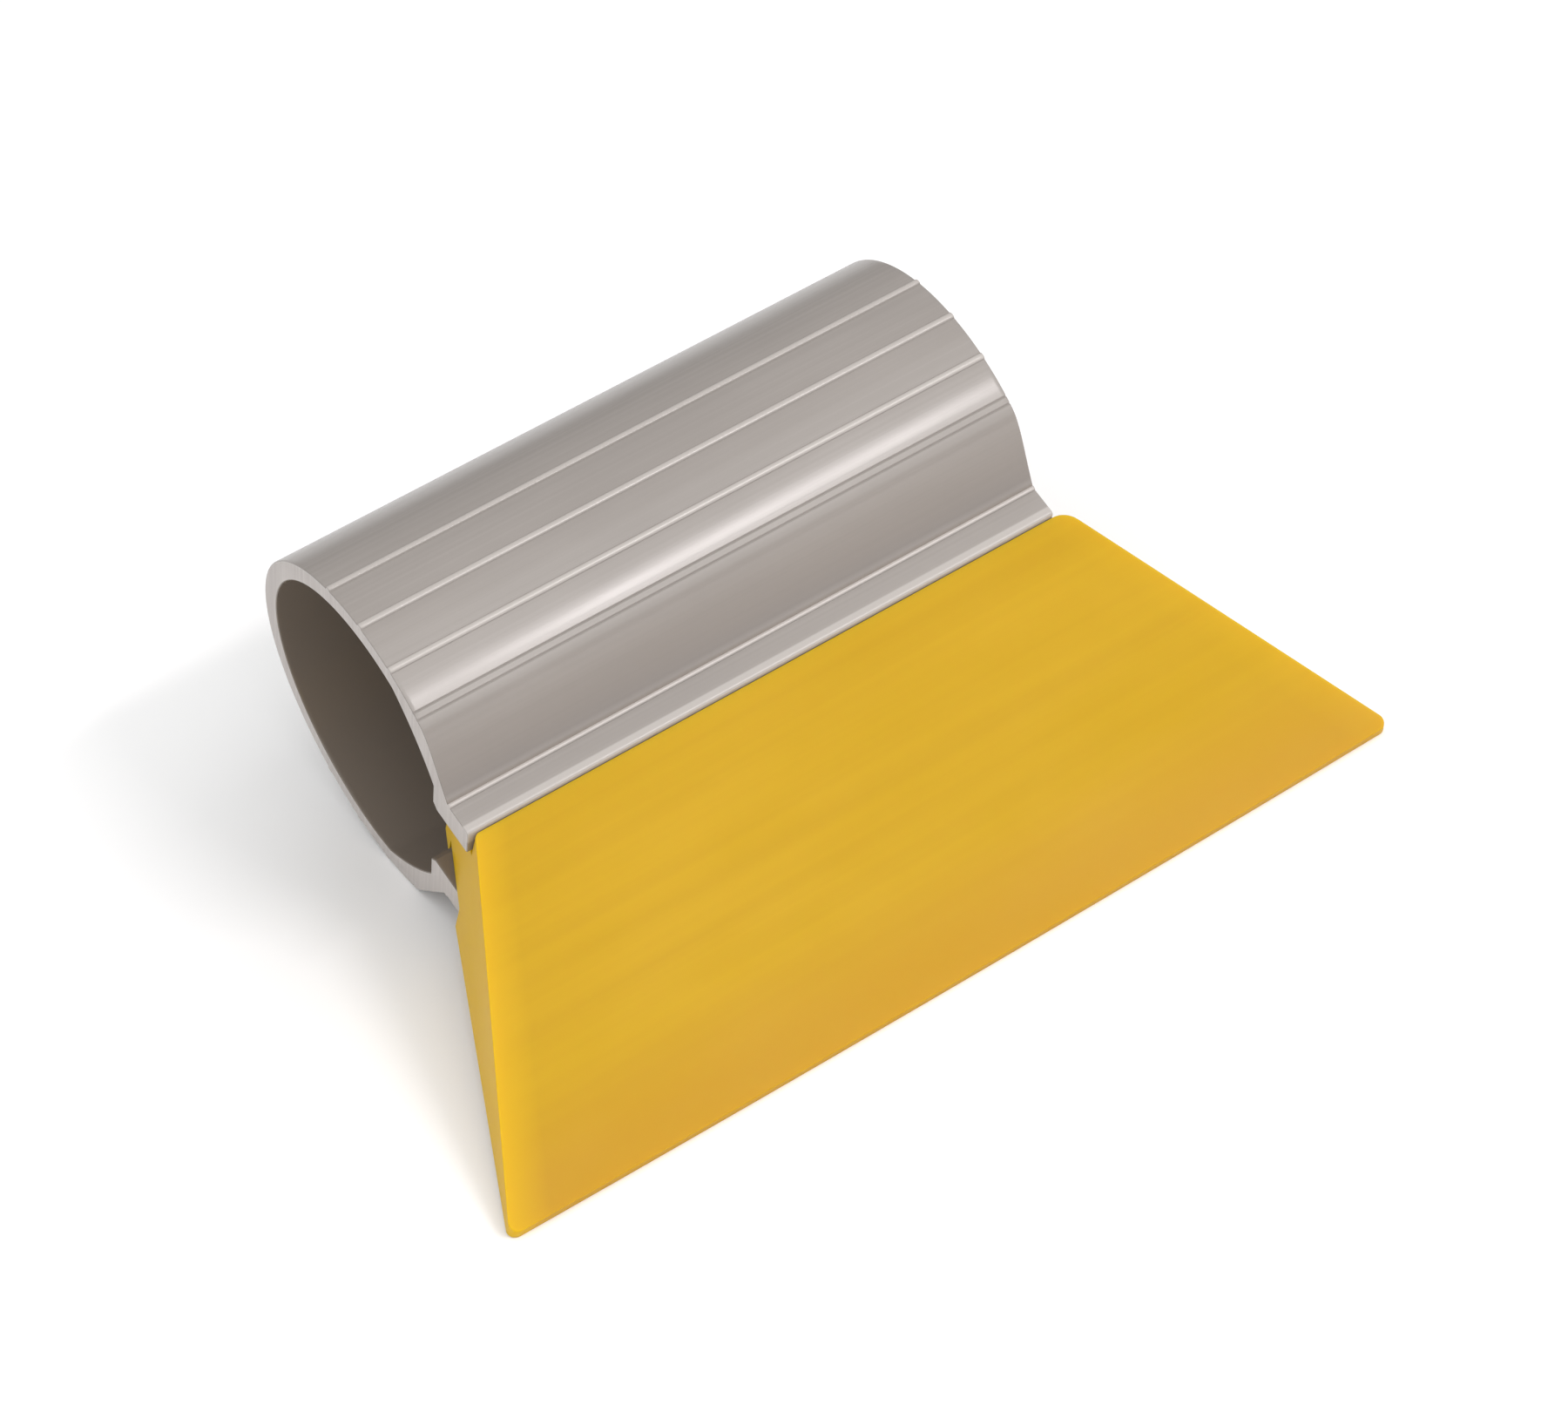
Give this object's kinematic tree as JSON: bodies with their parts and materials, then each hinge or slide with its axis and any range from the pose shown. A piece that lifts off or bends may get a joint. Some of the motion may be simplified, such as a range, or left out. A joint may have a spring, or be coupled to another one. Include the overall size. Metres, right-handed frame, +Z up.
{
  "type": "squeegee applicator",
  "caption": "Tube-grip squeegee for smoothing sheet film: a ribbed tube handle whose jaws hold a soft flared wedge blade that slides out along them.",
  "frame": {"origin": "on the surface the tool lies on, under the middle of its overall size", "axes": "+X along the tube and the blade's working edge, +Y from the working edge towards the tube, +Z up; the tool lies on its back with its ribbed front uppermost"},
  "size_m": [0.1388, 0.0918, 0.0524],
  "materials": {
    "handle_plastic": "satin extruded rigid plastic, warm light grey, sawn ends",
    "blade_urethane": "satin cast polyurethane, amber yellow, slightly translucent towards its edges"
  },
  "bodies": {
    "handle": {"tube_handle": "handle_plastic"},
    "blade": {"blade": "blade_urethane"}
  },
  "joints": [
    {"name": "blade_slide", "type": "slide", "parent": "handle", "child": "blade", "axis": [1, 0, 0], "range_m": [-0.098, 0.098]}
  ]
}
